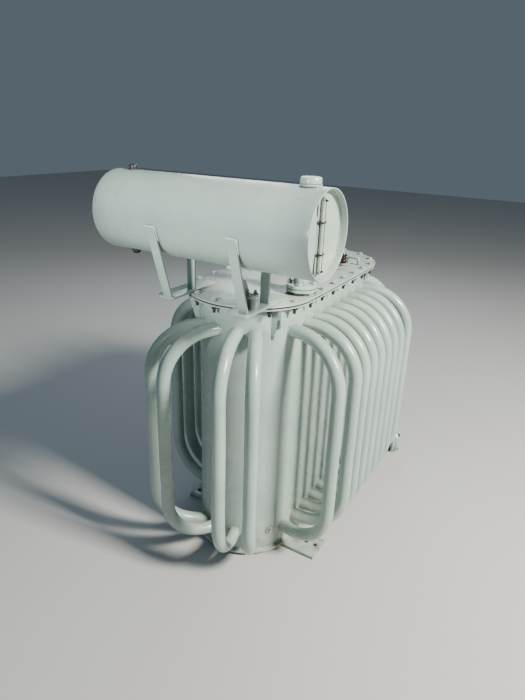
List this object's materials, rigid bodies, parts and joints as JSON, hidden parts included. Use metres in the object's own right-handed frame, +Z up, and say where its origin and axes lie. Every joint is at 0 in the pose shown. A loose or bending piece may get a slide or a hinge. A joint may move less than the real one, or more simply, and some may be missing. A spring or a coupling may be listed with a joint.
{
  "type": "power transformer",
  "caption": "Oil-filled power transformer with an obround tank, bent cooling tubes all round, a bolted cover and a horizontal conservator drum over one end.",
  "frame": {"origin": "on the floor, under the centre of the bounding box, which is also the centre of the tank", "axes": "+Z up; Y along the tank, with the conservator over the -Y end; +X towards the side that has the oil gauge and the pipe"},
  "size_m": [0.9048, 1.427, 1.554],
  "materials": {
    "paint": "semi-gloss",
    "gasket": "matt",
    "steel": "satin",
    "glass": "clear",
    "porcelain": "gloss"
  },
  "bodies": {
    "root": {"tank_bottom_plate": "paint", "tank_wall": "paint", "tank_rim_flange": "paint", "cover_plate": "paint", "conservator_shell": "paint", "conservator_end_right": "paint", "conservator_end_left": "paint", "filler_cap": "paint", "vent_cap": "paint", "sump_plug": "paint", "oil_gauge_frame": "paint", "bracket_left": "paint", "bracket_right": "paint", "pipe_lower_flange": "paint", "pipe_riser": "paint", "cover_pocket": "paint", "cover_staple": "paint", "drain_branch": "paint", "skid_near": "paint", "skid_far": "paint", "cooling_tube_right_1": "paint", "cooling_tube_right_2": "paint", "cooling_tube_right_3": "paint", "cooling_tube_right_4": "paint", "cooling_tube_right_5": "paint", "cooling_tube_right_6": "paint", "cooling_tube_right_7": "paint", "cooling_tube_left_1": "paint", "cooling_tube_left_2": "paint", "cooling_tube_left_3": "paint", "cooling_tube_left_4": "paint", "cooling_tube_left_5": "paint", "cooling_tube_left_6": "paint", "cooling_tube_left_7": "paint", "cooling_tube_near_1": "paint", "cooling_tube_near_2": "paint", "cooling_tube_near_3": "paint", "cooling_tube_near_4": "paint", "cooling_tube_near_corner": "paint", "cooling_tube_far_1": "paint", "cooling_tube_far_2": "paint", "cooling_tube_far_3": "paint", "cooling_tube_far_4": "paint", "cooling_tube_far_corner": "paint", "lifting_lug_near_right": "paint", "lifting_lug_near_left": "paint", "lifting_lug_far_right": "paint", "lifting_lug_far_left": "paint", "rim_gasket": "gasket", "earth_bolt": "steel", "oil_gauge_glass": "glass", "low_bushing_1": "porcelain", "low_bushing_2": "porcelain", "low_bushing_3": "porcelain", "low_bushing_4": "porcelain", "high_bushing_1": "porcelain", "high_bushing_2": "porcelain", "high_bushing_3": "porcelain"}
  },
  "joints": []
}
